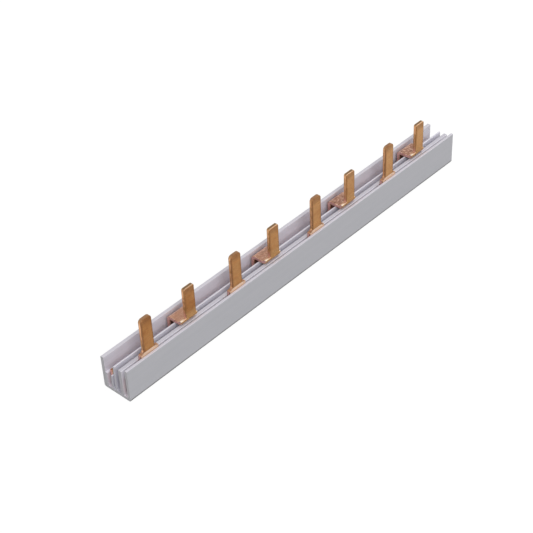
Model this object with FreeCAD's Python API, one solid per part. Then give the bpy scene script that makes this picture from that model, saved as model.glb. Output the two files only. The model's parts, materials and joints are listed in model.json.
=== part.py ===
import FreeCAD, Part
import math
import os

# Two-pole comb busbar for a row of modular circuit breakers, in millimetres.
# +X runs along the bar, -Y is the front, +Z is up towards the pin tips.
# The origin is the centre of the flat base.

# The row of pins
pin_pitch = 17.8
first_pin_inset = 9.95
last_pin_margin = 5.0

# Extruded insulating housing, an open channel with standing partitions
housing_length = 150.0
housing_depth = 10.5
housing_height = 11.2
front_wall = 0.9
back_wall = 1.2
floor_thickness = 1.0
front_partition = 1.3
partition_drop = 1.2
centre_rib = 0.55
rib_to_rail = 0.8
rail_thickness = 0.6
rail_height = 4.8
base_edge_radius = 0.5
wall_top_radius = 0.2
root_radius = 0.15

# Copper strip that both combs are stamped from
strip_thickness = 1.2
strip_clearance = 0.15
spine_height = 5.6
spine_setback = 1.0
rear_strip_inset = 0.8
edge_break = 0.12

# Teeth
blade_width = 4.0
tab_root_radius = 0.8
shoulder_radius = 0.35

# Straight teeth of the front comb
straight_shoulder = 1.4
straight_shoulder_rise = 0.6
straight_flare_radius = 1.2
straight_pin_height = 12.3
straight_tip_radius = 1.1

# Bent teeth of the rear comb, which reach forward over the centre rib
bent_shoulder_left = 2.1
bent_shoulder_right = 0.5
bent_shoulder_rise = 0.25
bent_pin_setback = 1.35
bent_pin_height = 11.0
bent_tip_radius = 0.6
bend_inner_radius = 0.35
plate_clearance = 0.1

# Places across the depth, from front to back
front_face = -housing_depth / 2
back_face = housing_depth / 2
groove_width = strip_thickness + 2 * strip_clearance
front_groove_start = front_face + front_wall
front_groove_end = front_groove_start + groove_width
partition_end = front_groove_end + front_partition
channel_end = back_face - back_wall
rear_strip_back = channel_end - rear_strip_inset
rear_strip_front = rear_strip_back - strip_thickness
rear_groove_start = rear_strip_front - strip_clearance
rear_groove_end = rear_strip_back + strip_clearance
rail_start = rear_groove_start - rail_thickness
rib_end = rail_start - rib_to_rail
rib_start = rib_end - centre_rib
front_strip_front = front_groove_start + strip_clearance
bent_pin_front = front_strip_front + bent_pin_setback
bent_pin_back = bent_pin_front + strip_thickness

# Levels
partition_top = housing_height - partition_drop
rail_top = floor_thickness + rail_height
spine_top = floor_thickness + spine_height
plate_bottom = partition_top + plate_clearance
plate_top = plate_bottom + strip_thickness
bend_outer_radius = bend_inner_radius + strip_thickness
bent_shoulder_top = plate_bottom + bend_outer_radius + bent_shoulder_rise
straight_shoulder_top = housing_height + straight_shoulder_rise
straight_tip = housing_height + straight_pin_height
bent_tip = housing_height + bent_pin_height

# Pins along the bar: as many as its length takes, straight and bent in turn
left_end = -housing_length / 2
right_end = housing_length / 2
pin_count = 1 + int((housing_length - first_pin_inset - last_pin_margin) // pin_pitch)
pin_places = [left_end + first_pin_inset + pin_pitch * number for number in range(pin_count)]
straight_places = pin_places[0::2]
bent_places = pin_places[1::2]


def rounded_face(corners):
    """Face inside a closed outline whose corners are (point, radius), each arc tangent to its two sides."""
    count = len(corners)
    sides = [corners[(index + 1) % count][0] - corners[index][0] for index in range(count)]
    half_turns = [(-sides[index - 1]).getAngle(sides[index]) / 2 for index in range(count)]
    reaches = [radius / math.tan(half_turn) for (corner, radius), half_turn in zip(corners, half_turns)]
    shares = [side_share(sides[index], reaches[index] + reaches[(index + 1) % count]) for index in range(count)]
    starts = []
    ends = []
    mids = []
    for index, (corner, radius) in enumerate(corners):
        share = min(shares[index - 1], shares[index])
        to_before = (-sides[index - 1]).normalize()
        to_after = FreeCAD.Vector(sides[index]).normalize()
        inward = (to_before + to_after).normalize()
        reach = reaches[index] * share
        fitted = radius * share
        starts.append(corner + to_before * reach)
        ends.append(corner + to_after * reach)
        mids.append(corner + inward * (fitted / math.sin(half_turns[index]) - fitted))
    edges = []
    for index, (corner, radius) in enumerate(corners):
        if radius > 0:
            edges.append(Part.Arc(starts[index], mids[index], ends[index]).toShape())
        edges.append(Part.LineSegment(ends[index], starts[(index + 1) % count]).toShape())
    return Part.Face(Part.Wire(edges))


def side_share(side, wanted):
    """Share of their wanted length that the arcs at both ends of a side can have, with some straight left."""
    if wanted == 0:
        return 1
    return min(1, 0.96 * side.Length / wanted)


def across(points, x):
    """Outline corners in the plane across the bar at x, from (y, z, radius) values."""
    return [(FreeCAD.Vector(x, y, z), radius) for y, z, radius in points]


def along(points, y):
    """Outline corners in the plane along the bar at y, from (x, z, radius) values."""
    return [(FreeCAD.Vector(x, y, z), radius) for x, z, radius in points]


def standing_wall(back, front, top, root, crest):
    """Corners of one standing wall, met from the back, with its root and crest radii."""
    return [
        (back, floor_thickness, root),
        (back, top, crest),
        (front, top, crest),
        (front, floor_thickness, root),
    ]


def housing():
    """The extruded channel: one closed outline carried along the whole length and sawn square."""
    outline = [
        (front_face, 0, base_edge_radius),
        (back_face, 0, base_edge_radius),
        (back_face, housing_height, wall_top_radius),
        (channel_end, housing_height, wall_top_radius),
        (channel_end, rail_top, root_radius),
        (rear_groove_end, rail_top, root_radius),
        (rear_groove_end, floor_thickness, root_radius),
    ]
    outline += standing_wall(rear_groove_start, rail_start, rail_top, root_radius, root_radius)
    outline += standing_wall(rib_end, rib_start, partition_top, root_radius, wall_top_radius)
    outline += standing_wall(partition_end, front_groove_end, partition_top, root_radius, wall_top_radius)
    outline += [
        (front_groove_start, floor_thickness, root_radius),
        (front_groove_start, housing_height, wall_top_radius),
        (front_face, housing_height, wall_top_radius),
    ]
    section = rounded_face(across(outline, left_end))
    return section.extrude(FreeCAD.Vector(housing_length, 0, 0))


def spine_corners():
    """The long lower edge of a comb, from its left end to its right end."""
    return [
        (left_end + spine_setback, spine_top, 0),
        (left_end + spine_setback, floor_thickness, 0),
        (right_end - spine_setback, floor_thickness, 0),
        (right_end - spine_setback, spine_top, 0),
    ]


def straight_tooth(x):
    """One flat tooth, met from the right: a wide tab, level shoulders and a narrow blade with round corners."""
    half_blade = blade_width / 2
    half_tab = half_blade + straight_shoulder
    return [
        (x + half_tab, spine_top, tab_root_radius),
        (x + half_tab, straight_shoulder_top, shoulder_radius),
        (x + half_blade, straight_shoulder_top, straight_flare_radius),
        (x + half_blade, straight_tip, straight_tip_radius),
        (x - half_blade, straight_tip, straight_tip_radius),
        (x - half_blade, straight_shoulder_top, straight_flare_radius),
        (x - half_tab, straight_shoulder_top, shoulder_radius),
        (x - half_tab, spine_top, tab_root_radius),
    ]


def deburred(solid):
    """A comb with every sharp stamped edge broken."""
    merged = solid.removeSplitter()
    return merged.makeChamfer(edge_break, sharp_edges(merged))


def sharp_edges(solid):
    """Edges whose two faces meet at a clear angle."""
    found = []
    for edge in solid.Edges:
        faces = solid.ancestorsOfType(edge, Part.Face)
        if len(faces) == 2 and face_turn(edge, faces) > math.radians(20):
            found.append(edge)
    return found


def face_turn(edge, faces):
    """Angle between the normals of two faces at the middle of their shared edge."""
    middle = edge.valueAt((edge.FirstParameter + edge.LastParameter) / 2)
    normals = []
    for face in faces:
        u, v = face.Surface.parameter(middle)
        normals.append(face.normalAt(u, v))
    return normals[0].getAngle(normals[1])


def front_comb():
    """The flat comb: one stamped outline through the strip's thickness."""
    outline = spine_corners()
    for x in reversed(straight_places):
        outline += straight_tooth(x)
    stamped = rounded_face(along(outline, front_strip_front))
    return deburred(stamped.extrude(FreeCAD.Vector(0, strip_thickness, 0)))


def bent_tab(x):
    """The wide tab of a bent tooth: up from the spine, forward as a level plate, and up again."""
    start = x - blade_width / 2 - bent_shoulder_left
    width = blade_width + bent_shoulder_left + bent_shoulder_right
    profile = [
        (rear_strip_front, floor_thickness, 0),
        (rear_strip_back, floor_thickness, 0),
        (rear_strip_back, plate_top, bend_outer_radius),
        (bent_pin_back, plate_top, bend_inner_radius),
        (bent_pin_back, bent_shoulder_top, 0),
        (bent_pin_front, bent_shoulder_top, 0),
        (bent_pin_front, plate_bottom, bend_outer_radius),
        (rear_strip_front, plate_bottom, bend_inner_radius),
    ]
    return rounded_face(across(profile, start)).extrude(FreeCAD.Vector(width, 0, 0))


def bent_blade(x):
    """The blade of a bent tooth, standing on the front of its tab."""
    half_blade = blade_width / 2
    root = plate_bottom + bend_outer_radius
    outline = [
        (x - half_blade, root, 0),
        (x + half_blade, root, 0),
        (x + half_blade, bent_tip, bent_tip_radius),
        (x - half_blade, bent_tip, bent_tip_radius),
    ]
    face = rounded_face(along(outline, bent_pin_front))
    return face.extrude(FreeCAD.Vector(0, strip_thickness, 0))


def rear_comb():
    """The bent comb: a spine like the front one, with teeth folded forward to the row of pins."""
    spine = rounded_face(along(spine_corners(), rear_strip_front))
    comb = spine.extrude(FreeCAD.Vector(0, strip_thickness, 0))
    teeth = []
    for x in bent_places:
        teeth += [bent_tab(x), bent_blade(x)]
    return deburred(comb.fuse(teeth))


def main():
    os.makedirs("parts", exist_ok=True)
    pieces = {"insulating_housing": housing(), "front_comb": front_comb(), "rear_comb": rear_comb()}
    for name, shape in pieces.items():
        solid = shape.Solids[0]
        print(name, "solids", len(shape.Solids), "valid", solid.isValid(), "volume", round(solid.Volume, 1))
        solid.exportStep("parts/" + name + ".step")


main()
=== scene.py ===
"""Looks of a two-pole comb busbar: a grey extruded channel that holds two stamped copper combs.

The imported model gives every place. The channel keeps its solid and gets its plastic here. Each comb is
worked out again as one stamped strip with rolled edges, and the rear one is folded as the real one is.
"""

import json
import logging
import math
from dataclasses import dataclass, field
from enum import Enum
from functools import cached_property
from typing import Any, NamedTuple

import bpy
import numpy as np
from mathutils import Matrix, Vector


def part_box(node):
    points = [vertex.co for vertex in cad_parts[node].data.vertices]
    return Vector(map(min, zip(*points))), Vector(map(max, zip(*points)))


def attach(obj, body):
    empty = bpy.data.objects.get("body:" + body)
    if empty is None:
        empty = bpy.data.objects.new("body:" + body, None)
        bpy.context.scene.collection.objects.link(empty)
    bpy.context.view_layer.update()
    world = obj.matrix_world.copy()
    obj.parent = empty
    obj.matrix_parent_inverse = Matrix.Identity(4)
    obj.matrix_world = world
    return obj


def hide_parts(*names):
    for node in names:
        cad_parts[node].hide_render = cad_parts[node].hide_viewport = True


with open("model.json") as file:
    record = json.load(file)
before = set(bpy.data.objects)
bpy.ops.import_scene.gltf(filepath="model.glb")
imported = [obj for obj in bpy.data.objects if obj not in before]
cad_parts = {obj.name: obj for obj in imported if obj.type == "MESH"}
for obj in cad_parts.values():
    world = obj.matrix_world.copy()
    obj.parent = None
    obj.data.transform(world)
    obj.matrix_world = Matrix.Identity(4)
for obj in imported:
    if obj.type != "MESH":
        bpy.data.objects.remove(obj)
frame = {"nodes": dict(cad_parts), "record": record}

LOG = logging.getLogger("comb_busbar")
MM = 0.001
ROOT_BODY = "root"
BLANK_MAP = "blank"

Socket = bpy.types.NodeSocket
Triple = tuple[float, float, float]
Colour = tuple[float, float, float, float]
WHITE: Colour = (1.0, 1.0, 1.0, 1.0)


class Slot(Enum):
    """A material slot of the record, which no piece in this script takes."""

    COPPER = "comb_copper"


class Side(Enum):
    """The two sides of a tooth, as the sign of the way along the bar."""

    RIGHT = 1
    LEFT = -1


class Mark(Enum):
    """The values that a comb's mesh carries for its finish."""

    RIM = "rim"
    END_GRAIN = "end_grain"
    NIB = "nib"


@dataclass(frozen=True)
class Corner:
    """One corner of a flat blank.

    Args:
        along: Place along the bar, in metres.
        up: Height on the flat blank, before any fold, in metres.
        radius: Radius of the arc that rounds the corner, or 0 for a point on a straight side.
    """

    along: float
    up: float
    radius: float = 0.0


def rounded_outline(corners: list[Corner], arc_step: float) -> tuple[np.ndarray, np.ndarray]:
    """Turns the corners of a closed outline, met anticlockwise, into points and outward normals.

    Each corner's arc touches its two sides. It reaches back along each side by its radius times the
    tangent of half the turn. Its points are its centre plus its radius times the side's normal, turned
    step by step from the first side to the second.

    Args:
        corners: The corners in order.
        arc_step: The largest turn between two points of an arc, in radians.

    Returns:
        The points and their unit normals, as two arrays with one row for each point.
    """
    places = np.array([(corner.along, corner.up) for corner in corners])
    radii = np.array([corner.radius for corner in corners])
    sides = np.roll(places, -1, axis=0) - places
    after = sides / np.linalg.norm(sides, axis=1, keepdims=True)
    before = np.roll(after, 1, axis=0)
    normals = np.column_stack((before[:, 1], -before[:, 0]))
    sines = before[:, 0] * after[:, 1] - before[:, 1] * after[:, 0]
    turns = np.arctan2(sines, (before * after).sum(axis=1))
    signed = np.sign(turns) * radii
    starts = places - before * (radii * np.tan(np.abs(turns) / 2))[:, None]
    centres = starts - normals * signed[:, None]
    counts = np.where(radii > 0, np.ceil(np.abs(turns) / arc_step).astype(int) + 1, 1)
    which = np.repeat(np.arange(len(corners)), counts)
    step = np.arange(len(which)) - np.repeat(np.cumsum(counts) - counts, counts)
    angle = turns[which] * step / np.maximum(counts[which] - 1, 1)
    cosine, sine = np.cos(angle), np.sin(angle)
    turned = np.column_stack((
        normals[which, 0] * cosine - normals[which, 1] * sine,
        normals[which, 0] * sine + normals[which, 1] * cosine,
    ))
    return centres[which] + turned * signed[which][:, None], turned


@dataclass(frozen=True)
class StampedEdge:
    """The edge of a stamped strip, seen across its thickness.

    Args:
        thickness: The strip's thickness.
        roll_over: How far down the cut side the front corner's tone runs on.
        cut_end: The share of the cut side at which its last point lies.
        corner_share: The rim value at which a corner meets the cut side.
    """

    thickness: float
    front_radius: float = 0.26 * MM
    back_radius: float = 0.12 * MM
    roll_over: float = 0.14 * MM
    cut_end: float = 0.9
    corner_share: float = 0.8
    arc_points: int = 5
    side_points: int = 3

    def stations(self) -> dict[str, np.ndarray]:
        """Works out the edge's points from the front face to the back face.

        On an arc at an angle from the face, the inset is the radius times one minus the sine, and the depth
        is the radius times one minus the cosine. Both ends of the cut side join the arcs.

        Returns:
            Arrays of inset, depth, the two parts of the normal (outward and through) and rim, which is 0 on
            a face, 1 on the cut side and between them on a corner.
        """
        rise = np.linspace(0, math.pi / 2, self.arc_points)
        cut = self.thickness - self.front_radius - self.back_radius
        side = np.linspace(self.roll_over / cut, self.cut_end, self.side_points)
        corner = np.stack((1 - np.sin(rise), 1 - np.cos(rise)))
        front = self.front_radius * corner
        back = self.back_radius * corner[:, ::-1]
        share = np.linspace(0, self.corner_share, self.arc_points)
        return {
            "inset": np.concatenate((front[0], np.zeros_like(side), back[0])),
            "depth": np.concatenate((front[1], self.front_radius + cut * side, self.thickness - back[1])),
            "outward": np.concatenate((np.sin(rise), np.ones_like(side), np.sin(rise)[::-1])),
            "through": np.concatenate((-np.cos(rise), np.zeros_like(side), np.cos(rise)[::-1])),
            "rim": np.concatenate((share, np.ones_like(side), share[::-1])),
        }


class Ramp(NamedTuple):
    """A smooth step: its result goes from low to high while a value goes from start to end."""

    start: float
    end: float
    low: float = 0.0
    high: float = 1.0


@dataclass(frozen=True)
class Place:
    """A point of the surface in the object's own coordinates, as outputs of a node tree.

    Args:
        point: The whole point.
        along: Its place along the bar.
        depth: Its place across the bar, from front to back.
        height: Its height.
    """

    point: Socket
    along: Socket
    depth: Socket
    height: Socket


class Graph:
    """The node tree of one material or world, filled by short calls."""

    def __init__(self, tree: bpy.types.NodeTree) -> None:
        """Empties the tree and keeps it."""
        tree.nodes.clear()
        self.tree = tree

    def add(self, kind: str, inputs: dict[Any, Any] | None = None, **settings: Any) -> bpy.types.Node:
        """Adds a node.

        Args:
            kind: The node's type name, without its ShaderNode start.
            inputs: For each input, by name or number, a plain value or the output that feeds it.
            settings: Attributes of the node itself.

        Returns:
            The new node.
        """
        node = self.tree.nodes.new("ShaderNode" + kind)
        for name, value in settings.items():
            setattr(node, name, value)
        for name, value in (inputs or {}).items():
            if isinstance(value, Socket):
                self.tree.links.new(value, node.inputs[name])
            else:
                node.inputs[name].default_value = value
        return node

    @cached_property
    def place(self) -> Place:
        """Reads the point in the object's own coordinates, once."""
        point = self.add("TexCoord").outputs["Object"]
        return Place(point, *self.add("SeparateXYZ", {0: point}).outputs)

    def mark(self, mark: Mark) -> Socket:
        """Reads one of the values that the mesh carries."""
        return self.add("Attribute", attribute_name=mark.value).outputs["Fac"]

    def noise(self, vector: Socket, scale: Triple, detail: float, roughness: float = 0.55) -> Socket:
        """Adds a noise whose scale differs by axis.

        Args:
            vector: The coordinates it reads.
            scale: Its features per metre on each axis.
            detail: Its number of finer layers.
            roughness: The strength of the finer layers.

        Returns:
            Its output, from 0 to 1 and mostly near 0.5.
        """
        placed = self.add("Mapping", {"Vector": vector, "Scale": scale})
        noise = self.add("TexNoise", {"Vector": placed.outputs[0], "Scale": 1.0, "Detail": detail,
                                      "Roughness": roughness})
        return noise.outputs[0]

    def ramp(self, value: Socket, start: float, end: float, low: float = 0.0, high: float = 1.0) -> Socket:
        """Adds a smooth step from low to high while a value goes from start to end.

        Args:
            value: The value it reads.
            start: Where the step starts.
            end: Where the step ends.
            low: The result before the step.
            high: The result after the step.

        Returns:
            The result's output.
        """
        node = self.add("MapRange", {"Value": value, "From Min": start, "From Max": end, "To Min": low,
                                     "To Max": high}, interpolation_type="SMOOTHSTEP")
        return node.outputs[0]

    def calculate(self, operation: str, *values: Any) -> Socket:
        """Works out a value from outputs and numbers, by the Math node's operation of that name."""
        return self.add("Math", dict(enumerate(values)), operation=operation).outputs[0]

    def multiply(self, first: Socket, *others: Any) -> Socket:
        """Multiplies a value with other values, each an output or a number."""
        for other in others:
            first = self.calculate("MULTIPLY", first, other)
        return first

    def between(self, share: Any, first: Any, second: Any) -> Socket:
        """Goes from a first value to a second one while the share goes from 0 to 1."""
        return self.add("Mix", {0: share, 2: first, 3: second}, data_type="FLOAT").outputs[0]

    def mix(self, share: Socket, first: Any, second: Any, blend: str = "MIX") -> Socket:
        """Mixes two colours.

        Args:
            share: How much of the second colour shows.
            first: The first colour, as an output or four numbers.
            second: The second colour, as an output or four numbers.
            blend: The way the second colour works on the first.

        Returns:
            The mixed colour's output.
        """
        node = self.add("Mix", {0: share, 6: first, 7: second}, data_type="RGBA", blend_type=blend)
        return node.outputs[2]


def new_graph(name: str) -> tuple[bpy.types.Material, Graph]:
    """Makes an empty node material.

    Args:
        name: The material's name.

    Returns:
        The material and its graph.
    """
    material = bpy.data.materials.new(name)
    material.use_nodes = True
    return material, Graph(material.node_tree)


@dataclass(frozen=True)
class ChannelPlaces:
    """Where the channel's parts lie.

    Args:
        half_length: The distance from the bar's middle to its sawn ends.
        top: The height of the wall tops.
        inner_front: The depth of the front wall's inner face, where the channel's tint starts.
        inner_back: The depth of the back wall's inner face, behind which the tint ends.
    """

    half_length: float
    top: float
    inner_front: float
    inner_back: float


@dataclass(frozen=True)
class PlasticFinish:
    """Rigid light grey plastic, extruded: faint lines along the bar, a soft gloss and rough sawn ends."""

    outer: Colour = (0.622, 0.624, 0.665, 1.0)
    # Painted light: the groove's inside is paler than the plastic, to lighten the narrow groove's shade
    groove: Colour = (0.92, 0.90, 0.97, 1.0)
    inner: Colour = (0.62, 0.60, 0.67, 1.0)
    # Painted light: the back wall's inside is paler than the plastic, to lighten the channel's shade
    back: Colour = (0.82, 0.80, 0.89, 1.0)
    pale: Colour = (0.70, 0.69, 0.735, 1.0)
    # Painted highlight: the wall tops are paler than the plastic, as if lit from above
    crest: Colour = (0.69, 0.665, 0.735, 1.0)
    sawn: Colour = (0.80, 0.79, 0.81, 1.0)
    # Painted shade: a dark line along the rounded base edge, where the bar meets the table
    base_edge_shade: Colour = (0.14, 0.14, 0.135, 1.0)
    # Where a tint starts or ends: heights and depths, and for crest and sawn the distance from top and end
    base_shade_low: float = 0.4 * MM
    base_shade_high: float = 0.9 * MM
    floor_level: float = 0.9 * MM
    groove_end: float = -2.75 * MM
    rib_start: float = -0.2 * MM
    blend: float = 0.1 * MM
    crest_start: float = 0.2 * MM
    crest_end: float = 0.05 * MM
    sawn_start: float = 0.06 * MM
    sawn_end: float = 0.02 * MM
    # Features of the patterns per metre, and how strongly they show
    line_scale: Triple = (6.0, 2600.0, 2600.0)
    cloud_scale: Triple = (90.0, 220.0, 220.0)
    grain_scale: Triple = (5200.0, 5200.0, 5200.0)
    saw_scale: Triple = (300.0, 500.0, 6500.0)
    cloud_shade: Ramp = Ramp(0.3, 0.7, 0.0, 0.3)
    line_shade: Ramp = Ramp(0.35, 0.65, 0.0, 0.25)
    # Gloss and relief
    roughness: Ramp = Ramp(0.2, 0.8, 0.34, 0.44)
    rough_ends: float = 0.75
    grain_share: float = 0.3
    relief: float = 0.5
    relief_height: float = 0.012 * MM
    saw_height: float = 0.05 * MM
    refraction: float = 1.53

    def body_colour(self, graph: Graph, channel: ChannelPlaces) -> Socket:
        """Adds the plastic's colour: the outer walls, the channel's inside and the wall tops, with painted
        light.

        Args:
            graph: The graph that gets the colour.
            channel: Where the channel's parts lie.

        Returns:
            The colour's output.
        """
        place = graph.place
        # Painted light: the groove and the back wall inside take paler colours than the plastic
        past_groove = graph.ramp(place.depth, self.groove_end, self.groove_end + self.blend)
        past_rib = graph.ramp(place.depth, self.rib_start, self.rib_start + self.blend)
        inside = graph.mix(past_rib, graph.mix(past_groove, self.groove, self.inner), self.back)
        behind_front = graph.ramp(place.depth, channel.inner_front - self.blend, channel.inner_front)
        back_edge = channel.inner_back + self.blend / 2
        before_back = graph.ramp(place.depth, back_edge, back_edge + self.blend, 1.0, 0.0)
        above_floor = graph.ramp(place.height, self.floor_level - self.blend, self.floor_level)
        walls = graph.mix(graph.multiply(behind_front, before_back, above_floor), self.outer, inside)
        # Painted highlight along the wall tops
        crest = graph.ramp(place.height, channel.top - self.crest_start, channel.top - self.crest_end)
        return graph.mix(crest, walls, self.crest)

    def material(self, channel: ChannelPlaces) -> bpy.types.Material:
        """Builds the material.

        Args:
            channel: Where the channel's parts lie.

        Returns:
            The material.
        """
        material, graph = new_graph("extruded_grey_plastic")
        place = graph.place
        lines = graph.noise(place.point, self.line_scale, detail=2.0)
        clouds = graph.noise(place.point, self.cloud_scale, detail=2.0)
        grain = graph.noise(place.point, self.grain_scale, detail=1.0)
        saw = graph.noise(place.point, self.saw_scale, detail=4.0)
        reach = graph.calculate("ABSOLUTE", place.along)
        sawn = graph.ramp(reach, channel.half_length - self.sawn_start, channel.half_length - self.sawn_end)
        # Painted shade on the rounded base edge: above the flat bottom, low down and away from the sawn ends
        off_flat = graph.ramp(place.height, 0.0, self.blend)
        off_walls = graph.ramp(place.height, self.base_shade_low, self.base_shade_high, 1.0, 0.0)
        base_shaded = graph.multiply(off_flat, off_walls, graph.calculate("SUBTRACT", 1.0, sawn))
        body = self.body_colour(graph, channel)
        clouded = graph.mix(graph.ramp(clouds, *self.cloud_shade), body, self.pale)
        lined = graph.mix(graph.ramp(lines, *self.line_shade), clouded, self.pale)
        cleaned = graph.mix(graph.multiply(sawn, saw), lined, self.sawn)
        colour = graph.mix(base_shaded, cleaned, self.base_edge_shade)
        dull = graph.calculate("MAXIMUM", sawn, base_shaded)
        rough = graph.between(dull, graph.ramp(clouds, *self.roughness), self.rough_ends)
        fine = graph.between(self.grain_share, lines, grain)
        relief = graph.add("Bump", {"Strength": self.relief, "Distance": self.relief_height, "Height": fine})
        marks = graph.add("Bump", {"Strength": sawn, "Distance": self.saw_height, "Height": saw,
                                   "Normal": relief.outputs[0]})
        shader = graph.add("BsdfPrincipled", {"Base Color": colour, "Roughness": rough,
                                              "IOR": self.refraction, "Normal": marks.outputs[0]})
        graph.add("OutputMaterial", {"Surface": shader.outputs[0]})
        return material


@dataclass(frozen=True)
class ToothRow:
    """Where a comb's teeth stand.

    Args:
        first: The first tooth's place along the bar.
        spacing: The distance between two teeth of the comb.
        half_blade: Half of a blade's width.
        tip: The height of the tips.
        end: The comb's right end.
    """

    first: float
    spacing: float
    half_blade: float
    tip: float
    end: float


@dataclass(frozen=True)
class StripZones:
    """The parts of a comb's surface, each an output that is 1 there and 0 elsewhere.

    Args:
        blade: The blades, above their feet.
        tip: The cut ends at the tips.
        side: The cut sides.
        line: The rolled corners between a face and a cut side.
        end_grain: The cut sides that look up.
        reflecting_front: The front of the teeth above the channel, where the foot's reflection is painted.
        foot: The part of that front below the blades.
        bend: The bends behind the folded plates.
        painted_corner_glint: The shoulders' outer corners, which get a painted glint.
    """

    blade: Socket
    tip: Socket
    side: Socket
    line: Socket
    end_grain: Socket
    reflecting_front: Socket
    foot: Socket
    bend: Socket
    painted_corner_glint: Socket


@dataclass(frozen=True)
class CopperFinish:
    """Rolled copper strip, stamped: golden brown blades, pink tabs and paler cut sides, and feet with a
    painted reflection.

    Args:
        name: The material's name.
        foot: The height at which the foot's painted reflection starts to turn into the blade's brown.
        fade: The height over which it turns.
        painted_foot_reflection: The colour of the foot: a painted reflection of the channel's pale wall
            tops.
        shoulder: The colour of the cut shoulders.
        foot_line: The colour of the rolled corner below the blade, a painted reflection.
        blade_line: The colour of the rolled corner along the blade, a painted dark reflection.
        tip_line: The colour of the rolled corner round the tip, a painted highlight on the folded comb.
        tip_cut: The colour of the cut end at the tip.
        painted_corner_glint: The colour of the painted glint on the shoulders' outer corners.
        calm: How much of the glints the front of the shoulders loses.
        least_worked: How creased the tabs are at the bar's left end.
        most_worked: How creased they are at its right end.
    """

    name: str
    foot: float
    fade: float
    painted_foot_reflection: Colour
    shoulder: Colour
    foot_line: Colour
    blade_line: Colour
    tip_line: Colour
    tip_cut: Colour
    painted_corner_glint: Colour
    calm: float = 0.0
    least_worked: float = 0.15
    most_worked: float = 1.0
    toned: Colour = (0.33, 0.13, 0.026, 1.0)
    warm: Colour = (0.52, 0.275, 0.10, 1.0)
    smooth: Colour = (0.46, 0.25, 0.168, 1.0)
    fresh: Colour = (0.32, 0.165, 0.112, 1.0)
    hidden: Colour = (0.40, 0.20, 0.155, 1.0)
    # Painted highlight for the tabs' glints, and the pale tone of the strip's rolling streaks
    glint_and_streak_tone: Colour = (0.85, 0.58, 0.44, 1.0)
    # Painted shade in the tabs' creases
    painted_crease_shade: Colour = (0.14, 0.055, 0.035, 1.0)
    # Painted light: the bends behind the folded plates are paler than the tabs, for the pink glow behind the
    # plates
    painted_bend_light: Colour = (0.72, 0.44, 0.36, 1.0)
    raw: Colour = (0.76, 0.44, 0.41, 1.0)
    sheared: Colour = (0.95, 0.53, 0.29, 1.0)
    # Dark tarnish in the mottle, and the painted shade towards the blades' sides
    dark: Colour = (0.13, 0.055, 0.022, 1.0)
    # Levels and depths where a part of the comb starts or ends
    bright_front: float = -1.2 * MM
    bright_low: float = 10.0 * MM
    bright_fade: float = 1.0 * MM
    hidden_fade: float = 0.4 * MM
    front_fade: float = 0.3 * MM
    spot_front: float = -2.1 * MM
    bend_start: float = 1.7 * MM
    bend_end: float = 2.9 * MM
    tip_low: float = 16.0 * MM
    # Painted shade towards the blades' rolled sides, and darker towards their tips
    edge_band: float = 0.7 * MM
    edge_share: float = 0.6
    tip_band: float = 2.7 * MM
    tip_end: float = 0.8 * MM
    tip_share: float = 0.38
    # How strongly the tone drifts, the rolled corners show and the mottle counts in the relief
    drift_share: float = 0.65
    line_share: float = 0.85
    mottle_share: float = 0.5
    # Features of the patterns per metre
    streak_scale: Triple = (120.0, 3200.0, 1.0)
    glint_scale: Triple = (1500.0, 900.0, 1500.0)
    crease_scale: Triple = (260.0, 1100.0, 1.0)
    mottle_scale: Triple = (700.0, 700.0, 700.0)
    patch_scale: Triple = (160.0, 160.0, 160.0)
    cut_scale: Triple = (2600.0, 2600.0, 500.0)
    # Steps in the rim value and in the patterns
    side_rise: Ramp = Ramp(0.6, 0.85)
    line_rise: Ramp = Ramp(0.05, 0.35)
    line_fall: Ramp = Ramp(0.82, 1.0, 1.0, 0.0)
    line_glints: Ramp = Ramp(0.42, 0.60)
    tab_glints: Ramp = Ramp(0.48, 0.64, 0.0, 0.7)
    tab_creases: Ramp = Ramp(0.53, 0.62, 0.0, 0.8)
    blade_patches: Ramp = Ramp(0.3, 0.7, 0.0, 0.35)
    cut_patches: Ramp = Ramp(0.35, 0.65)
    dark_mottle: Ramp = Ramp(0.45, 0.75, 0.0, 0.3)
    pale_streaks: Ramp = Ramp(0.4, 0.7, 0.0, 0.25)
    # Gloss, relief and metal
    roughness: Ramp = Ramp(0.3, 0.7, 0.26, 0.40)
    rough_cut: float = 0.42
    relief: float = 0.6
    relief_height: float = 0.02 * MM
    metal: float = 0.78
    # Less metal where the foot reflection and the bend's light are painted, so that they read paler
    painted_light_metal: float = 0.45

    def zones(self, graph: Graph) -> StripZones:
        """Adds the shares of the comb's parts.

        Args:
            graph: The graph that gets them.

        Returns:
            The shares' outputs.
        """
        place = graph.place
        rim = graph.mark(Mark.RIM)
        end_grain = graph.mark(Mark.END_GRAIN)
        blade = graph.ramp(place.height, self.foot, self.foot + self.fade)
        below_blade = graph.calculate("SUBTRACT", 1.0, blade)
        near_tip = graph.ramp(place.height, self.tip_low, self.tip_low + self.fade)
        # The front of the teeth above the channel, which gets the painted foot reflection
        front = graph.ramp(place.depth, self.bright_front, self.bright_front - self.front_fade)
        raised = graph.ramp(place.height, self.bright_low, self.bright_low + self.bright_fade)
        reflecting_front = graph.multiply(front, raised)
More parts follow.
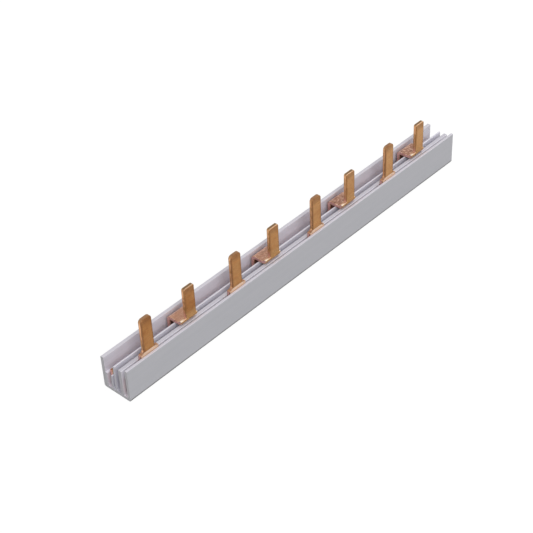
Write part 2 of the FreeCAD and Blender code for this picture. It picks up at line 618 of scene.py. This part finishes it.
        # The bends behind the folded plates, which get painted light
        behind = graph.ramp(place.depth, self.bend_start, self.bend_end)
        folded = graph.ramp(place.height, self.bright_low - self.bright_fade, self.bright_low)
        rising = graph.ramp(rim, *self.line_rise)
        foremost = graph.ramp(place.depth, self.spot_front, self.spot_front - self.front_fade)
        return StripZones(
            blade=blade,
            tip=graph.multiply(end_grain, near_tip),
            side=graph.ramp(rim, *self.side_rise),
            line=graph.multiply(rising, graph.ramp(rim, *self.line_fall)),
            end_grain=end_grain,
            reflecting_front=reflecting_front,
            foot=graph.multiply(reflecting_front, below_blade),
            bend=graph.multiply(behind, folded),
            painted_corner_glint=graph.multiply(graph.mark(Mark.NIB), foremost, rising, below_blade, raised),
        )

    def edge_shade(self, graph: Graph, row: ToothRow) -> Socket:
        """Adds a value that rises towards a blade's two sides, as painted shade, and towards its tip.

        The distance from the nearest tooth's centre is the place along the bar past the first tooth, folded
        to and fro at half the spacing.

        Args:
            graph: The graph that gets the value.
            row: Where the teeth stand.

        Returns:
            The value's output.
        """
        past = graph.calculate("SUBTRACT", graph.place.along, row.first)
        off_centre = graph.calculate("PINGPONG", past, row.spacing / 2)
        side_start, tip_start = row.half_blade - self.edge_band, row.tip - self.tip_band
        at_side = graph.ramp(off_centre, side_start, row.half_blade, 0.0, self.edge_share)
        at_tip = graph.ramp(graph.place.height, tip_start, row.tip - self.tip_end, 0.0, self.tip_share)
        return graph.calculate("MAXIMUM", at_side, at_tip)

    def blade_colour(self, graph: Graph, row: ToothRow) -> Socket:
        """Adds the blades' faces' colour: brown to golden along the comb, with painted shade towards the
        sides.

        Args:
            graph: The graph that gets the colour.
            row: Where the teeth stand.

        Returns:
            The colour's output.
        """
        patches = graph.noise(graph.place.point, self.patch_scale, detail=2.0)
        drift = graph.ramp(graph.place.along, -row.end, row.end, 0.0, self.drift_share)
        golden = graph.calculate("ADD", drift, graph.ramp(patches, *self.blade_patches))
        even = graph.mix(golden, self.toned, self.warm)
        return graph.mix(self.edge_shade(graph, row), even, self.dark)

    def tab_colour(self, graph: Graph, glints: Socket, bend: Socket, row: ToothRow) -> Socket:
        """Adds the colour of the tabs' faces: smooth to creased along the comb, with painted glints and
        crease shade.

        Args:
            graph: The graph that gets the colour.
            glints: The noise of the glints.
            bend: The share of the bends behind the folded plates.
            row: Where the teeth stand.

        Returns:
            The colour's output.
        """
        place = graph.place
        creases = graph.noise(place.point, self.crease_scale, detail=2.0)
        worked = graph.ramp(place.along, -row.end, row.end, self.least_worked, self.most_worked)
        rolled = graph.mix(worked, self.smooth, self.fresh)
        # Painted glints and painted crease shade, stronger where the tabs are more worked
        sparkling = graph.multiply(graph.ramp(glints, *self.tab_glints), worked)
        creased = graph.multiply(graph.ramp(creases, *self.tab_creases), worked)
        level = graph.mix(creased, graph.mix(sparkling, rolled, self.glint_and_streak_tone), self.painted_crease_shade)
        # Painted light on the bends behind the plates
        plate = graph.mix(bend, level, self.painted_bend_light)
        shown = graph.ramp(place.height, self.bright_low, self.bright_low + self.hidden_fade)
        return graph.mix(shown, self.hidden, plate)

    def cut_colour(self, graph: Graph, zones: StripZones) -> Socket:
        """Adds the colour of the cut sides: raw low down, sheared on the blades and brown on the tips.

        Args:
            graph: The graph that gets the colour.
            zones: The comb's parts.

        Returns:
            The colour's output.
        """
        patches = graph.noise(graph.place.point, self.cut_scale, detail=2.0)
        low = graph.mix(zones.end_grain, self.raw, self.shoulder)
        high = graph.mix(graph.ramp(patches, *self.cut_patches), self.sheared, self.warm)
        return graph.mix(zones.tip, graph.mix(zones.blade, low, high), self.tip_cut)

    def line_colour(self, graph: Graph, glints: Socket, zones: StripZones) -> Socket:
        """Adds the colour of the rolled corners: painted reflections, with glints below the blades.

        Args:
            graph: The graph that gets the colour.
            glints: The noise of the glints.
            zones: The comb's parts.

        Returns:
            The colour's output.
        """
        lively = graph.calculate("MULTIPLY_ADD", zones.reflecting_front, -self.calm, 1.0)
        glinting = graph.multiply(graph.ramp(glints, *self.line_glints), lively)
        low = graph.mix(glinting, self.shoulder, self.foot_line)
        return graph.mix(zones.tip, graph.mix(zones.blade, low, self.blade_line), self.tip_line)

    def material(self, row: ToothRow) -> bpy.types.Material:
        """Builds the material.

        Args:
            row: Where the comb's teeth stand.

        Returns:
            The material.
        """
        material, graph = new_graph(self.name)
        zones = self.zones(graph)
        blank = graph.add("UVMap", uv_map=BLANK_MAP).outputs[0]
        streaks = graph.noise(blank, self.streak_scale, detail=4.0)
        glints = graph.noise(graph.place.point, self.glint_scale, detail=3.0)
        mottle = graph.noise(graph.place.point, self.mottle_scale, detail=3.0)
        tab = self.tab_colour(graph, glints, zones.bend, row)
        # Painted reflection: the front above the channel takes the foot's pale colour
        tooth = graph.mix(zones.reflecting_front, tab, self.painted_foot_reflection)
        faces = graph.mix(zones.blade, tooth, self.blade_colour(graph, row))
        cut = graph.mix(zones.side, faces, self.cut_colour(graph, zones))
        # Painted reflections on the rolled corners
        lined = graph.multiply(zones.line, self.line_share)
        edged = graph.mix(lined, cut, self.line_colour(graph, glints, zones))
        # Painted highlight: a glint on the shoulders' outer corners
        spotted = graph.mix(zones.painted_corner_glint, edged, self.painted_corner_glint)
        worn = graph.mix(graph.ramp(mottle, *self.dark_mottle), spotted, self.dark, "SOFT_LIGHT")
        colour = graph.mix(graph.ramp(streaks, *self.pale_streaks), worn, self.glint_and_streak_tone, "SOFT_LIGHT")
        rough = graph.between(zones.side, graph.ramp(mottle, *self.roughness), self.rough_cut)
        fine = graph.between(self.mottle_share, streaks, mottle)
        relief = graph.add("Bump", {"Strength": self.relief, "Distance": self.relief_height, "Height": fine})
        dull = graph.calculate("MAXIMUM", zones.foot, zones.bend)
        metal = graph.between(dull, self.metal, self.painted_light_metal)
        shader = graph.add("BsdfPrincipled", {"Base Color": colour, "Metallic": metal, "Roughness": rough,
                                              "Normal": relief.outputs[0]})
        graph.add("OutputMaterial", {"Surface": shader.outputs[0]})
        return material


STRAIGHT_FINISH = CopperFinish(
    name="toned_straight_copper",
    foot=12.05 * MM,
    fade=0.35 * MM,
    painted_foot_reflection=(0.96, 0.72, 0.54, 1.0),
    shoulder=(0.36, 0.18, 0.085, 1.0),
    # Painted dark reflections on the rolled corners below and along the blades
    foot_line=(0.16, 0.07, 0.03, 1.0),
    blade_line=(0.30, 0.14, 0.06, 1.0),
    tip_line=(0.25, 0.13, 0.06, 1.0),
    tip_cut=(0.32, 0.18, 0.09, 1.0),
    painted_corner_glint=(0.52, 0.28, 0.17, 1.0),
    bright_front=-3.3 * MM,
    most_worked=0.15,
)
FOLDED_FINISH = CopperFinish(
    name="toned_folded_copper",
    foot=11.4 * MM,
    fade=3.4 * MM,
    painted_foot_reflection=(0.87, 0.52, 0.22, 1.0),
    shoulder=(0.50, 0.27, 0.16, 1.0),
    # Painted highlights on the rolled corners below the blades and round the tips, and a painted dark
    # reflection along the blades
    foot_line=(0.90, 0.62, 0.46, 1.0),
    blade_line=(0.42, 0.20, 0.065, 1.0),
    tip_line=(0.64, 0.46, 0.335, 1.0),
    tip_cut=(0.21, 0.13, 0.06, 1.0),
    painted_corner_glint=(1.0, 0.84, 0.66, 1.0),
    calm=0.6,
)


@dataclass
class Comb:
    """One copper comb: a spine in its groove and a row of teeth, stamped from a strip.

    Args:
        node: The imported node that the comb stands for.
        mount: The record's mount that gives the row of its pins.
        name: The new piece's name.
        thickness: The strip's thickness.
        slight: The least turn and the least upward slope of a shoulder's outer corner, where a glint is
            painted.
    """

    node: str
    mount: str
    name: str
    thickness: float
    blade_width: float = 4.0 * MM
    spine_height: float = 5.6 * MM
    end_radius: float = 0.25 * MM
    root_radius: float = 0.8 * MM
    arc_step: float = math.radians(11.25)
    slight: float = 0.05
    tooth_places: list[float] = field(init=False)
    row: ToothRow = field(init=False)

    def __post_init__(self) -> None:
        """Takes the comb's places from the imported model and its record."""
        self.low, self.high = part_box(self.node)
        self.spine_top = self.low.z + self.spine_height
        pins = next(mount for mount in frame["record"]["mounts"] if mount["name"] == self.mount)
        first, spacing = pins["pos_m"][0], pins["dims"]["spacing_x_mm"] * MM
        self.tooth_places = [first + spacing * number for number in range(pins["dims"]["count"])]
        self.row = ToothRow(first, spacing, self.blade_width / 2, self.high.z, self.high.x)

    def front_level(self) -> float:
        """Depth of the spine's front face."""
        return self.low.y

    def tooth_side(self, place: float, side: Side) -> list[Corner]:
        """Corners of one side of the tooth at a place along the bar, from its root to its tip."""
        raise NotImplementedError

    def blank(self) -> tuple[np.ndarray, np.ndarray]:
        """Outline of the whole flat blank, met anticlockwise as seen from the front.

        Returns:
            Its points and outward normals.
        """
        left, right = self.low.x, self.high.x
        ends = ((left, self.spine_top), (left, self.low.z), (right, self.low.z), (right, self.spine_top))
        corners = [Corner(along, up, self.end_radius) for along, up in ends]
        for place in reversed(self.tooth_places):
            corners += self.tooth_side(place, Side.RIGHT)
            corners += reversed(self.tooth_side(place, Side.LEFT))
        return rounded_outline(corners, self.arc_step)

    def path(self, developed: np.ndarray) -> tuple[np.ndarray, np.ndarray, np.ndarray]:
        """Way forward, height and turn of the front face at developed heights: it stands straight up."""
        return np.zeros_like(developed), developed, np.zeros_like(developed)

    def panels(self, outline: np.ndarray) -> list[np.ndarray]:
        """Numbers of the outline points round each panel of the front face, which is one flat panel."""
        return [np.arange(len(outline))]

    def fold(self, flat: np.ndarray, normals: np.ndarray,
             edge: dict[str, np.ndarray]) -> tuple[np.ndarray, np.ndarray]:
        """Folds the strip.

        A point at a developed height and a depth lies on the front face's path at that height, moved by its
        depth along the strip's own thickness direction, which is (cosine, sine) of the strip's turn.

        Args:
            flat: The points on the blank, as a grid with one row for each outline point.
            normals: The outline's normals.
            edge: The stations of the stamped edge.

        Returns:
            The points and their normals, as two arrays with one row for each point.
        """
        along, developed = flat[..., 0], flat[..., 1]
        depth = np.broadcast_to(edge["depth"], along.shape)
        through = np.broadcast_to(edge["through"], along.shape)
        outward = normals[:, None, :] * edge["outward"][None, :, None]
        forward, height, turn = self.path(developed)
        cosine, sine = np.cos(turn), np.sin(turn)
        points = np.stack((
            along,
            self.front_level() - forward + depth * cosine,
            height + depth * sine,
        ), axis=-1)
        directions = np.stack((
            outward[..., 0],
            through * cosine - outward[..., 1] * sine,
            outward[..., 1] * cosine + through * sine,
        ), axis=-1)
        return points.reshape(-1, 3), directions.reshape(-1, 3)

    def faces(self, outline: np.ndarray, columns: int) -> tuple[np.ndarray, list[list[int]]]:
        """Joins the points into faces.

        Args:
            outline: The blank's points.
            columns: How many points the stamped edge has across its thickness.

        Returns:
            The stamped edge's quads, one in each row, and the front and back of each panel.
        """
        number = np.arange(len(outline) * columns).reshape(-1, columns)
        after = np.roll(number, -1, axis=0)
        quads = np.stack((number[:, :-1], number[:, 1:], after[:, 1:], after[:, :-1]), axis=-1)
        flats = []
        for panel in self.panels(outline):
            flats.append(number[panel, 0].tolist())
            flats.append(number[panel[::-1], -1].tolist())
        return quads.reshape(-1, 4), flats

    def build(self) -> bpy.types.Object:
        """Makes the comb's mesh.

        The stamped edge is carried round the blank's outline, inset along the outline's normals.

        Returns:
            The comb's object.
        """
        outline, normals = self.blank()
        edge = StampedEdge(self.thickness).stations()
        flat = outline[:, None, :] - normals[:, None, :] * edge["inset"][None, :, None]
        unrolled = outline[:, None, :] + normals[:, None, :] * edge["depth"][None, :, None]
        points, directions = self.fold(flat, normals, edge)
        quads, flats = self.faces(outline, len(edge["depth"]))
        mesh = bpy.data.meshes.new(self.name)
        mesh.from_pydata(points.tolist(), [], quads.tolist() + flats)
        self.lay_pattern(mesh, flat.reshape(-1, 2), unrolled.reshape(-1, 2), quads.size)
        self.mark_edges(mesh, normals, edge["rim"])
        mesh.shade_smooth()
        mesh.normals_split_custom_set_from_vertices(directions.tolist())
        piece = bpy.data.objects.new(self.name, mesh)
        bpy.context.scene.collection.objects.link(piece)
        return piece

    def lay_pattern(self, mesh: bpy.types.Mesh, flat: np.ndarray, unrolled: np.ndarray,
                    rim_loops: int) -> None:
        """Gives the mesh its place on the flat blank as a UV map, with the cut sides rolled out beside it.

        Args:
            mesh: The comb's mesh, whose first faces are those of the stamped edge.
            flat: For each vertex, its place on the blank.
            unrolled: For each vertex, its place on the rolled-out edge.
            rim_loops: How many face corners the stamped edge has.
        """
        corner_vertex = np.empty(len(mesh.loops), dtype=np.int32)
        mesh.loops.foreach_get("vertex_index", corner_vertex)
        on_rim = (np.arange(len(corner_vertex)) < rim_loops)[:, None]
        pattern = np.where(on_rim, unrolled[corner_vertex], flat[corner_vertex])
        layer = mesh.uv_layers.new(name=BLANK_MAP)
        layer.data.foreach_set("uv", pattern.astype(np.float32).ravel())

    def mark_edges(self, mesh: bpy.types.Mesh, normals: np.ndarray, rim: np.ndarray) -> None:
        """Gives the mesh the values that its finish reads.

        The outline bulges at a point where the normal before it turns left to reach the normal after it, so
        where their cross product is above zero.

        Args:
            mesh: The comb's mesh.
            normals: The outline's normals.
            rim: For each point across the thickness, 0 on a face and 1 on the cut side.
        """
        before, after = np.roll(normals, 1, axis=0), np.roll(normals, -1, axis=0)
        bulge = before[:, 0] * after[:, 1] - before[:, 1] * after[:, 0]
        nib = (bulge > self.slight) & (normals[:, 1] > self.slight)
        marks = {
            Mark.RIM: np.tile(rim, len(normals)),
            Mark.END_GRAIN: (np.maximum(normals[:, 1:2], 0) * rim).ravel(),
            Mark.NIB: np.repeat(nib, len(rim)),
        }
        for mark, values in marks.items():
            attribute = mesh.attributes.new(mark.value, "FLOAT", "POINT")
            attribute.data.foreach_set("value", values.astype(np.float32))

    def finish(self, copper: CopperFinish) -> None:
        """Builds the comb, dresses it and sets it in the frame.

        Args:
            copper: The copper's finish.
        """
        piece = self.build()
        piece.data.materials.append(copper.material(self.row))
        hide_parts(self.node)
        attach(piece, ROOT_BODY)
        LOG.info("%s: %d teeth, %d faces", self.name, len(self.tooth_places), len(piece.data.polygons))


@dataclass
class StraightComb(Comb):
    """The flat comb in the front groove, whose teeth stand straight up on wide tabs."""

    shoulder: float = 1.4 * MM
    shoulder_top: float = 11.8 * MM
    shoulder_radius: float = 0.30 * MM
    flare_radius: float = 1.04 * MM
    tip_radius: float = 1.1 * MM

    def tooth_side(self, place: float, side: Side) -> list[Corner]:
        """Corners of one side of a tooth, from its root to its tip.

        Args:
            place: The tooth's place along the bar.
            side: Which side.

        Returns:
            The corners.
        """
        blade = place + side.value * self.blade_width / 2
        tab = blade + side.value * self.shoulder
        return [
            Corner(tab, self.spine_top, self.root_radius),
            Corner(tab, self.shoulder_top, self.shoulder_radius),
            Corner(blade, self.shoulder_top, self.flare_radius),
            Corner(blade, self.high.z, self.tip_radius),
        ]


@dataclass
class FoldedComb(Comb):
    """The comb in the rear groove, whose teeth bend forward over the centre rib and then up again."""

    inner_radius: float = 0.35 * MM
    plate_bottom: float = 10.1 * MM
    left_shoulder: float = 2.1 * MM
    right_shoulder: float = 0.5 * MM
    shoulder_rise: float = 0.25 * MM
    shoulder_radius: float = 0.30 * MM
    notch_radius: float = 0.15 * MM
    tip_radius: float = 0.6 * MM
    bend_steps: int = 10
    slack: float = 0.001 * MM
    reach_share: float = 0.75

    def __post_init__(self) -> None:
        """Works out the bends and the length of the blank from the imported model."""
        super().__post_init__()
        self.outer_radius = self.inner_radius + self.thickness
        self.first_bend = self.plate_bottom - self.inner_radius
        self.first_arc = self.inner_radius * math.pi / 2
        self.second_arc = self.outer_radius * math.pi / 2
        self.level_run = self.front_level() - self.low.y - self.inner_radius - self.outer_radius
        self.second_bend = self.first_bend + self.first_arc + self.level_run
        self.last_bend = self.second_bend + self.second_arc
        self.blank_top = self.last_bend + self.high.z - self.plate_bottom - self.outer_radius

    def front_level(self) -> float:
        """Depth of the spine's front face, at the back of the comb."""
        return self.high.y - self.thickness

    def bend_levels(self) -> np.ndarray:
        """Developed heights at which the blank has points in its two bends."""
        share = np.linspace(0, 1, self.bend_steps + 1)
        first = self.first_bend + self.first_arc * share
        second = self.second_bend + self.second_arc * share
        return np.concatenate((first, second))

    def path(self, developed: np.ndarray) -> tuple[np.ndarray, np.ndarray, np.ndarray]:
        """Where the front face goes: up, forward round the inner radius, level, up round the outer radius.

        The first turn is the length past the first bend over the inner radius, the second turn is the length
        past the second bend over the outer radius, and both stop at a quarter turn.

        Args:
            developed: Heights on the flat blank.

        Returns:
            How far forward the front face lies, its height and its turn from upright, in radians.
        """
        first = np.clip(developed - self.first_bend, 0, self.first_arc) / self.inner_radius
        level = np.clip(developed - self.first_bend - self.first_arc, 0, self.level_run)
        second = np.clip(developed - self.second_bend, 0, self.second_arc) / self.outer_radius
        above = np.maximum(developed - self.last_bend, 0)
        forward = self.inner_radius * (1 - np.cos(first)) + level + self.outer_radius * np.sin(second)
        climb = self.inner_radius * np.sin(first) + self.outer_radius * (1 - np.cos(second)) + above
        return forward, np.minimum(developed, self.first_bend) + climb, first - second

    def tooth_side(self, place: float, side: Side) -> list[Corner]:
        """Corners of one side of a tooth, from its root to its tip, with a point at each bend level.

        Args:
            place: The tooth's place along the bar.
            side: Which side.

        Returns:
            The corners.
        """
        shoulder = self.right_shoulder if side is Side.RIGHT else self.left_shoulder
        blade = place + side.value * self.blade_width / 2
        tab = blade + side.value * shoulder
        shoulder_level = self.last_bend + self.shoulder_rise
        corners = [Corner(tab, self.spine_top, self.root_radius)]
        corners += [Corner(tab, level) for level in self.bend_levels().tolist()]
        corners += [
            Corner(tab, shoulder_level, self.shoulder_radius),
            Corner(blade, shoulder_level, self.notch_radius),
            Corner(blade, self.blank_top, self.tip_radius),
        ]
        return corners

    def panels(self, outline: np.ndarray) -> list[np.ndarray]:
        """Splits the front face into the spine with its tabs, the steps of each fold, and each blade.

        Args:
            outline: The blank's points.

        Returns:
            For each panel, the numbers of its outline points, anticlockwise as seen from the front.
        """
        reach = (self.blade_width + self.left_shoulder + self.right_shoulder) * self.reach_share
        steps = len(self.bend_levels())
        panels = [np.flatnonzero(outline[:, 1] < self.first_bend + self.slack)]
        for place in self.tooth_places:
            near = np.abs(outline[:, 0] - place) < reach
            upper = np.flatnonzero(near & (outline[:, 1] > self.first_bend - self.slack))
            right, left = upper[:steps], upper[-steps:][::-1]
            panels += list(np.stack((left[:-1], right[:-1], right[1:], left[1:]), axis=-1))
            panels.append(upper[steps - 1:len(upper) - steps + 1])
        return panels


@dataclass
class Channel:
    """The extruded plastic channel, whose solid stays and gets its finish."""

    node: str = "insulating_housing"
    front_wall: float = 0.9 * MM
    back_wall: float = 1.2 * MM

    def dress(self) -> None:
        """Gives the channel its plastic."""
        low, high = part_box(self.node)
        places = ChannelPlaces(high.x, high.z, low.y + self.front_wall, high.y - self.back_wall)
        piece = frame["nodes"][self.node]
        piece.data.materials.clear()
        piece.data.materials.append(PlasticFinish().material(places))
        LOG.info("%s: %d faces kept", self.node, len(piece.data.polygons))


@dataclass(frozen=True)
class Lamp:
    """A square soft lamp that faces the bar."""

    name: str
    place: Triple
    size: float
    power: float

    def hang(self) -> None:
        """Puts the lamp in the scene."""
        data = bpy.data.lights.new(self.name, "AREA")
        data.shape = "SQUARE"
        data.size = self.size
        data.energy = self.power
        lamp = bpy.data.objects.new(self.name, data)
        lamp.location = self.place
        lamp.rotation_euler = Vector(self.place).to_track_quat("Z", "Y").to_euler()
        bpy.context.scene.collection.objects.link(lamp)


@dataclass
class Studio:
    """A plain white table under two large soft lamps, and the camera of the photograph."""

    camera_place: Triple = (-0.23906, -0.21722, 0.25805)
    camera_turn: float = math.radians(-46.182)
    camera_height: float = math.radians(38.725)
    camera_roll: float = math.radians(-2.964)
    lens: float = 90.135
    sensor: float = 36.0
    nearest: float = 0.01
    floor_size: float = 6.0
    floor_bounce: Colour = (0.12, 0.12, 0.12, 1.0)
    floor_glow: float = 0.78
    glow_strength: float = 1.10
    front_lamp: Lamp = Lamp("front_lamp", (-0.36, -0.62, 0.60), 0.5, 2.6)
    side_lamp: Lamp = Lamp("side_lamp", (0.69, -0.18, 0.60), 0.5, 1.75)
    ambient: float = 0.56

    def seen(self, graph: Graph) -> Socket:
        """Adds a value that is 1 for rays that show the background, straight, off gloss or through glass.

        Args:
            graph: The graph that gets the value.

        Returns:
            The value's output.
        """
        path = graph.add("LightPath")
        direct = path.outputs["Is Camera Ray"]
        for name in ("Is Glossy Ray", "Is Transmission Ray"):
            direct = graph.calculate("MAXIMUM", direct, path.outputs[name])
        return direct

    def set_world(self) -> None:
        """White to look at, and a softer even light on the object."""
        world = bpy.data.worlds.new("studio")
        bpy.context.scene.world = world
        world.use_nodes = True
        graph = Graph(world.node_tree)
        seen = self.seen(graph)
        strength = graph.add("MapRange", {"Value": seen, "To Min": self.ambient, "To Max": 1.0})
        sky = graph.add("Background", {"Color": WHITE, "Strength": strength.outputs[0]})
        graph.add("OutputWorld", {"Surface": sky.outputs[0]})

    def set_floor(self) -> None:
        """Lays the table under the bar."""
        half = self.floor_size / 2
        mesh = bpy.data.meshes.new("table")
        corners = [(-half, -half, 0.0), (half, -half, 0.0), (half, half, 0.0), (-half, half, 0.0)]
        mesh.from_pydata(corners, [], [(0, 1, 2, 3)])
        table = bpy.data.objects.new("table", mesh)
        bpy.context.scene.collection.objects.link(table)
        material, graph = new_graph("white_table")
        seen = self.seen(graph)
        lit = graph.add("BsdfDiffuse", {"Color": graph.mix(seen, self.floor_bounce, WHITE)})
        glow = graph.add("Emission", {"Color": WHITE, "Strength": self.glow_strength})
        share = graph.multiply(seen, self.floor_glow)
        both = graph.add("MixShader", {0: share, 1: lit.outputs[0], 2: glow.outputs[0]})
        graph.add("OutputMaterial", {"Surface": both.outputs[0]})
        mesh.materials.append(material)

    def set_camera(self) -> None:
        """Stands the camera where the photograph was taken, rolled as it was."""
        turn, height, roll = self.camera_turn, self.camera_height, self.camera_roll
        back = Vector((
            math.sin(turn) * math.cos(height),
            -math.cos(turn) * math.cos(height),
            math.sin(height),
        ))
        level_right = (-back).cross(Vector((0.0, 0.0, 1.0))).normalized()
        level_up = level_right.cross(-back)
        right = math.cos(roll) * level_right + math.sin(roll) * level_up
        up = -math.sin(roll) * level_right + math.cos(roll) * level_up
        data = bpy.data.cameras.new("photo_camera")
        data.lens = self.lens
        data.sensor_width = self.sensor
        data.clip_start = self.nearest
        camera = bpy.data.objects.new("photo_camera", data)
        turned = Matrix((right, up, back)).transposed().to_4x4()
        camera.matrix_world = Matrix.Translation(self.camera_place) @ turned
        bpy.context.scene.collection.objects.link(camera)
        bpy.context.scene.camera = camera

    def build(self) -> None:
        """Sets up the table, the light and the camera."""
        bpy.context.scene.view_settings.view_transform = "Standard"
        self.set_world()
        self.set_floor()
        self.front_lamp.hang()
        self.side_lamp.hang()
        self.set_camera()


def main() -> None:
    """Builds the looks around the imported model."""
    logging.basicConfig(level=logging.INFO, format="%(message)s")
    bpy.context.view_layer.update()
    Studio().build()
    Channel().dress()
    front_low, front_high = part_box("front_comb")
    thickness = front_high.y - front_low.y
    StraightComb("front_comb", "straight_pins", "straight_copper_comb", thickness).finish(STRAIGHT_FINISH)
    FoldedComb("rear_comb", "bent_pins", "folded_copper_comb", thickness).finish(FOLDED_FINISH)


if __name__ == "__main__":
    main()
